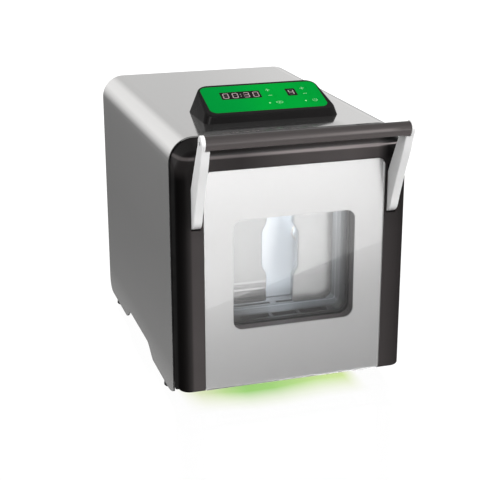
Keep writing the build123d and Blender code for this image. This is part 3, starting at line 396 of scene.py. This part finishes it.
def plates(name, polys, h0, h1, mat, body, bevel=0.0):
    """Thin closed plates on the sloping face from outlines in (u, v)."""
    bm = bmesh.new()
    for poly in polys:
        lo = [bm.verts.new(ov(u, v, h0)) for u, v in poly]
        hi = [bm.verts.new(ov(u, v, h1)) for u, v in poly]
        bm.faces.new(hi)
        bm.faces.new(list(reversed(lo)))
        n = len(poly)
        for i in range(n):
            j = (i + 1) % n
            bm.faces.new((lo[i], lo[j], hi[j], hi[i]))
    bmesh.ops.recalc_face_normals(bm, faces=bm.faces)
    me = bpy.data.meshes.new(name)
    bm.to_mesh(me)
    bm.free()
    me.materials.append(mat)
    o = bpy.data.objects.new(name, me)
    bpy.context.scene.collection.objects.link(o)
    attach(o, body)
    return o


def bar(cx, cy, w, h):
    return [(cx - w / 2, cy - h / 2), (cx + w / 2, cy - h / 2), (cx + w / 2, cy + h / 2), (cx - w / 2, cy + h / 2)]


def plus(cx, cy, s, t):
    a, b = s / 2, t / 2
    return [(cx - a, cy - b), (cx - b, cy - b), (cx - b, cy - a), (cx + b, cy - a), (cx + b, cy - b),
            (cx + a, cy - b), (cx + a, cy + b), (cx + b, cy + b), (cx + b, cy + a), (cx - b, cy + a),
            (cx - b, cy + b), (cx - a, cy + b)]


def ring(cx, cy, rx, ry, t, a0=0.0, a1=360.0, n=40):
    """An arc of an elliptical ring as short quads."""
    out = []
    for i in range(n):
        p, q = math.radians(a0 + (a1 - a0) * i / n), math.radians(a0 + (a1 - a0) * (i + 1) / n)
        out.append([(cx + rx * math.cos(p), cy + ry * math.sin(p)), (cx + rx * math.cos(q), cy + ry * math.sin(q)),
                    (cx + (rx - t) * math.cos(q), cy + (ry - t) * math.sin(q)),
                    (cx + (rx - t) * math.cos(p), cy + (ry - t) * math.sin(p))])
    return out


H0, H1 = 0.0, 0.05
plates("mark_time_plus", [plus(8.6, 42.6, 5.2, 0.62)], H0, H1, M["print"], "key_time_plus")
plates("mark_time_minus", [bar(8.3, 30.6, 4.4, 0.62)], H0, H1, M["print"], "key_time_minus")
plates("mark_speed_plus", [plus(49.4, 41.8, 5.2, 0.62)], H0, H1, M["print"], "key_speed_plus")
plates("mark_speed_minus", [bar(49.4, 30.0, 4.4, 0.62)], H0, H1, M["print"], "key_speed_minus")
plates("mark_start", ring(14.6, 14.7, 4.0, 2.4, 0.42) + [[(13.9, 13.7), (15.9, 14.7), (13.9, 15.7)]],
       H0, H1, M["print"], "key_start")
plates("mark_stop", ring(56.1, 14.5, 2.8, 2.8, 0.45, -235, 55, 30) + [bar(56.1, 16.3, 0.45, 3.0)],
       H0, H1, M["print"], "key_stop")

# seven-segment digits
SEG = {"0": "abcdef", "3": "abgcd", "4": "fgbc", "8": "abcdefg"}


def seg_polys(cx, cy, w, h, t, slant=0.06):
    """Outlines of the seven segments of one digit."""
    x0, x1, y0, y1, ym = -w / 2, w / 2, -h / 2, h / 2, 0.0
    g, k = t * 0.12, t / 2

    def hbar(y):
        return [(x0 + k + g, y), (x0 + t + g, y - k), (x1 - t - g, y - k), (x1 - k - g, y), (x1 - t - g, y + k),
                (x0 + t + g, y + k)]

    def vbar(x, ya, yb):
        return [(x, ya + g), (x + k, ya + k + g), (x + k, yb - k - g), (x, yb - g), (x - k, yb - k - g),
                (x - k, ya + k + g)]

    raw = {"a": hbar(y1 - k), "g": hbar(ym), "d": hbar(y0 + k),
           "f": vbar(x0 + k, ym, y1 - k), "b": vbar(x1 - k, ym, y1 - k),
           "e": vbar(x0 + k, y0 + k, ym), "c": vbar(x1 - k, y0 + k, ym)}
    return {s: [(cx + x + slant * y, cy + y) for x, y in p] for s, p in raw.items()}


on, off = [], []
for ch, cx in (("0", -42.0), ("0", -31.1), ("3", -18.0), ("0", -7.0)):
    for s, p in seg_polys(cx, 35.2, 6.9, 11.0, 1.1).items():
        (on if s in SEG[ch] else off).append(p)
for v in (33.0, 37.4):
    on.append(bar(-24.5 + 0.06 * (v - 35.2), v, 1.2, 1.2))
plates("time_digits_lit", on, -0.16, -0.08, M["segment"], "root")
plates("time_digits_unlit", off, -0.16, -0.11, M["segment_off"], "root")
on, off = [], []
for s, p in seg_polys(34.6, 35.0, 6.4, 10.6, 1.25).items():
    (on if s in SEG["4"] else off).append(p)
plates("speed_digit_lit", on, -0.16, -0.08, M["segment"], "root")
plates("speed_digit_unlit", off, -0.16, -0.11, M["segment_off"], "root")

# ---------------------------------------------------------------------- stage
floor_me = bpy.data.meshes.new("stage_floor")
bm = bmesh.new()
bmesh.ops.create_grid(bm, x_segments=2, y_segments=2, size=30.0)
bm.to_mesh(floor_me)
bm.free()
floor = bpy.data.objects.new("stage_floor", floor_me)
bpy.context.scene.collection.objects.link(floor)
fm, fnt, fb = material("pale_bench")


def fmath(opn, x, y=None, clamp=False):
    n = fnt.nodes.new("ShaderNodeMath")
    n.operation = opn
    n.use_clamp = clamp
    for i, v in enumerate((x, y)):
        if v is None:
            continue
        if isinstance(v, (int, float)):
            n.inputs[i].default_value = v
        else:
            fnt.links.new(v, n.inputs[i])
    return n.outputs[0]


f_sep = fnt.nodes.new("ShaderNodeSeparateXYZ")
fnt.links.new(coords(fnt), f_sep.inputs["Vector"])
fx, fy = f_sep.outputs[0], f_sep.outputs[1]
# painted light and shade: under the door the bench is painted as a shaded patch lit green, fading out on the bench
# ahead of it
f01 = fmath("ADD", fmath("MULTIPLY", fx, 1 / 0.26), 0.5, True)
reach = fmath("MULTIPLY", ramp(fnt, f01, [(0.1, (0.3,) * 3), (0.22, (0.6,) * 3), (0.32, (1.0,) * 3), (0.46, (1.0,) * 3), (0.66, (0.5,) * 3), (0.8, (0.6,) * 3)]), 0.016)
ahead = fmath("MULTIPLY", fmath("ADD", fmath("ADD", fy, 0.170), reach), 1 / 0.05, True)
ahead = fmath("POWER", ahead, 1.25)
ahead = fmath("MULTIPLY", ahead, fmath("MULTIPLY", fmath("SUBTRACT", -0.02, fy), 1 / 0.05, True), True)
wide = ramp(fnt, f01, [(0.04, (0, 0, 0)), (0.13, (0.72,) * 3), (0.24, (0.95,) * 3), (0.36, (1.0,) * 3), (0.5, (0.97,) * 3),
                       (0.62, (0.97,) * 3), (0.79, (0.92,) * 3), (0.86, (0, 0, 0))])
mask = fmath("MULTIPLY", ahead, wide, True)
f_mix = fnt.nodes.new("ShaderNodeMix")
f_mix.data_type = "RGBA"
fnt.links.new(mask, f_mix.inputs[0])
f_mix.inputs[6].default_value = (0.975, 0.975, 0.975, 1)
tone = ramp(fnt, f01, [(0.10, (0.62, 0.70, 0.36)), (0.22, (0.48, 0.66, 0.26)), (0.33, (0.33, 0.60, 0.18)), (0.45, (0.34, 0.60, 0.18)),
                       (0.64, (0.50, 0.70, 0.25)), (0.82, (0.60, 0.75, 0.27))])
fringe = fnt.nodes.new("ShaderNodeMix")
fringe.data_type = "RGBA"
fnt.links.new(mask, fringe.inputs[0])
fringe.inputs[6].default_value = (0.74, 0.77, 0.46, 1)
fnt.links.new(tone, fringe.inputs[7])
fnt.links.new(fringe.outputs[2], f_mix.inputs[7])
fnt.links.new(f_mix.outputs[2], fb.inputs["Emission Color"])
fb.inputs["Emission Strength"].default_value = 1.0
fb.inputs["Base Color"].default_value = (0.02, 0.02, 0.02, 1)
fb.inputs["Roughness"].default_value = 0.12
fb.inputs["Specular IOR Level"].default_value = 0.3
floor_me.materials.append(fm)
floor.visible_glossy = False
floor.visible_diffuse = False
floor.visible_transmission = False

# ---------------------------------------------------------------------- world
world = bpy.data.worlds.new("studio")
bpy.context.scene.world = world
world.use_nodes = True
wn = world.node_tree
wn.nodes.clear()
w_out = wn.nodes.new("ShaderNodeOutputWorld")
w_tc = wn.nodes.new("ShaderNodeTexCoord")
w_sep = wn.nodes.new("ShaderNodeSeparateXYZ")
wn.links.new(w_tc.outputs["Generated"], w_sep.inputs["Vector"])


def wmath(opn, a, b=None, clamp=False):
    n = wn.nodes.new("ShaderNodeMath")
    n.operation = opn
    n.use_clamp = clamp
    for i, x in enumerate((a, b)):
        if x is None:
            continue
        if isinstance(x, (int, float)):
            n.inputs[i].default_value = x
        else:
            wn.links.new(x, n.inputs[i])
    return n.outputs[0]


def wramp(fac, stops, lo=-1.0, hi=1.0):
    """Grey ramp over fac from lo to hi; values may pass 1 because they are stored at a quarter."""
    f01 = wmath("DIVIDE", wmath("SUBTRACT", fac, lo), hi - lo, True)
    r = wn.nodes.new("ShaderNodeValToRGB")
    e = r.color_ramp.elements
    while len(e) < len(stops):
        e.new(0.5)
    for el, (p, g) in zip(e, stops):
        el.position = (p - lo) / (hi - lo)
        el.color = (g / 4, g / 4, g / 4, 1)
    wn.links.new(f01, r.inputs["Fac"])
    return wmath("MULTIPLY", r.outputs["Color"], 4.0)


X, Y, Z = w_sep.outputs
back = wramp(Z, [(-1, 0.12), (-0.5, 0.07), (-0.32, 0.07), (-0.16, 0.12), (0.0, 0.7), (0.12, 0.95), (0.6, 1.0), (1, 1.0)])
# brighter towards the left behind, which the hood's rounded edge mirrors
side = wramp(X, [(-1, 0.7), (-0.6, 1.07), (-0.1, 1.04), (0.06, 0.72), (0.24, 0.75), (0.36, 0.93), (1, 1.05)])
up01 = wmath("DIVIDE", wmath("ADD", Z, 0.0), 0.12, True)
back = wmath("MULTIPLY", back, wmath("ADD", wmath("MULTIPLY", side, up01), wmath("SUBTRACT", 1.0, up01)))
# the bright field in front ends below at a slanted line, which the clear pane mirrors as a diagonal
dotn = wn.nodes.new("ShaderNodeVectorMath")
dotn.operation = "DOT_PRODUCT"
dotn.inputs[1].default_value = (-0.2473, -0.4295, 0.8685)
wn.links.new(w_tc.outputs["Generated"], dotn.inputs[0])
S = dotn.outputs["Value"]
front = wramp(S, [(-1, 0.08), (-0.3, 0.15), (-0.16, 0.27), (-0.05, 0.4), (-0.028, 0.45), (-0.010, 0.85), (0.0, 1.22),
                  (0.02, 1.5), (0.08, 1.62), (0.16, 1.95), (0.26, 1.7), (0.36, 0.8), (0.5, 0.42), (0.75, 0.35), (1, 0.4)])
edge = wmath("MULTIPLY", wmath("ADD", S, 0.0005), 1000.0, True)
edge = wmath("MULTIPLY", edge, wmath("MULTIPLY", wmath("SUBTRACT", 0.36, S), 10.0, True))
front = wmath("ADD", front, wmath("MULTIPLY", edge, 0.8))
# it is weaker to the left, so the hood's left side isn't washed out from behind
front = wmath("MULTIPLY", front, wramp(X, [(-1, 0.17), (-0.45, 0.22), (-0.05, 1.0), (1, 1.0)]))
mixf = wmath("DIVIDE", wmath("ADD", Y, 0.25), 0.5, True)   # 0 in front, 1 behind
env = wmath("ADD", wmath("MULTIPLY", back, mixf), wmath("MULTIPLY", front, wmath("SUBTRACT", 1.0, mixf)))
w_lp = wn.nodes.new("ShaderNodeLightPath")
w_bg = wn.nodes.new("ShaderNodeBackground")
w_white = wn.nodes.new("ShaderNodeBackground")
w_white.inputs["Color"].default_value = (1, 1, 1, 1)
w_white.inputs["Strength"].default_value = 1.05
wn.links.new(env, w_bg.inputs["Strength"])
w_bg.inputs["Color"].default_value = (1.0, 0.995, 0.99, 1)
w_mix = wn.nodes.new("ShaderNodeMixShader")
wn.links.new(w_lp.outputs["Is Camera Ray"], w_mix.inputs[0])
wn.links.new(w_bg.outputs[0], w_mix.inputs[1])
wn.links.new(w_white.outputs[0], w_mix.inputs[2])
wn.links.new(w_mix.outputs[0], w_out.inputs["Surface"])

# --------------------------------------------------------------------- lights


def area(name, loc, target, size, power, color=(1, 1, 1), size_y=None, spread=180.0):
    li = bpy.data.lights.new(name, "AREA")
    li.energy = power
    li.color = color
    li.size = size
    if size_y:
        li.shape = "RECTANGLE"
        li.size_y = size_y
    li.spread = math.radians(spread)
    o = bpy.data.objects.new(name, li)
    o.location = loc
    o.rotation_mode = "QUATERNION"
    o.rotation_quaternion = (Vector(target) - Vector(loc)).to_track_quat("-Z", "Y")
    bpy.context.scene.collection.objects.link(o)
    o.visible_camera = False
    return o


key = area("key_left_top", (-1.6, -0.9, 1.5), (0, 0, 0.15), 0.9, 16.0)
key.visible_glossy = False
fill = area("fill_right_front", (1.3, -1.7, 1.0), (0, 0, 0.15), 1.0, 18.0)
fill.visible_glossy = False
# two strip lights that draw the highlights on the bar, the frame's rounding and the console's corner
area("strip_top", (0.45, -1.85, 1.95), (0, -0.15, 0.25), 2.6, 14.0, size_y=0.16)
area("strip_left", (-2.1, -1.35, 0.75), (0, -0.1, 0.3), 0.12, 2.0, size_y=0.9)
hood_side = area("hood_side", (-2.3, -0.35, 0.02), (-0.13, 0.03, 0.12), 1.0, 980.0)
hood_side.visible_glossy = False


def only_on(lamp, *names):
    """Let a lamp light the named nodes alone."""
    col = bpy.data.collections.new(lamp.name + "_on")
    for n in names:
        col.objects.link(NODES[n])
    lamp.light_linking.receiver_collection = col


only_on(hood_side, "hood")
# gloss lines on the two dull mouldings
gl = area("gloss_frame", (0.45, -1.85, 1.95), (0, -0.15, 0.25), 2.6, 60.0, size_y=0.16)
gl.visible_diffuse = False
only_on(gl, "door_frame")
gb = area("gloss_bar", (0.45, -1.65, 0.14), (0, -0.19, 0.3), 2.6, 16.0, size_y=0.2)
only_on(gb, "handle_bar")
gc = area("gloss_console", (-1.9, -1.6, 1.3), (0, -0.1, 0.31), 0.22, 150.0, size_y=1.6)
gc.visible_diffuse = False
only_on(gc, "console_housing")
arm_fill = area("arm_fill", (-1.7, -1.3, 0.6), (-0.12, -0.17, 0.2), 0.7, 7.0)
arm_fill.visible_glossy = False
only_on(arm_fill, "handle_arm_left")
area("chamber_light", (0.0, -0.1, 0.2445), (0.0, -0.0785, 0.17), 0.11, 0.225, (0.80, 0.90, 1.0), 0.012, spread=75.0)
low = area("chamber_low", (0.0, -0.0975, 0.0925), (0.0, -0.0785, 0.135), 0.1, 0.012, (0.80, 0.90, 1.0), 0.006, spread=120.0)
low.visible_glossy = False
glow = area("under_glow", (0.0, -0.129, 0.0125), (0.0, -0.15, 0.0), 0.15, 0.03, (0.14, 1.0, 0.08), 0.006)
glow.visible_glossy = False

# --------------------------------------------------------------------- camera
cam_data = bpy.data.cameras.new("camera")
cam = bpy.data.objects.new("camera", cam_data)
bpy.context.scene.collection.objects.link(cam)
C = Vector((-0.40815, -1.29755, 0.5890))
T = Vector((0.00162, 0.03638, 0.12065))
ROLL = math.radians(-0.19)
fwd = (T - C).normalized()
right = fwd.cross(Vector((0, 0, 1))).normalized()
up = right.cross(fwd)
r2 = right * math.cos(ROLL) + up * math.sin(ROLL)
u2 = -right * math.sin(ROLL) + up * math.cos(ROLL)
cam.matrix_world = Matrix(((r2.x, u2.x, -fwd.x, C.x), (r2.y, u2.y, -fwd.y, C.y), (r2.z, u2.z, -fwd.z, C.z),
                           (0, 0, 0, 1)))
cam_data.sensor_width = 36.0
cam_data.lens = 88.99
cam_data.clip_start = 0.05
cam_data.clip_end = 100.0
bpy.context.scene.camera = cam
bpy.context.scene.view_settings.view_transform = "Standard"
bpy.context.scene.view_settings.look = "None"
bpy.context.scene.cycles.use_denoising = True

bpy.context.view_layer.update()
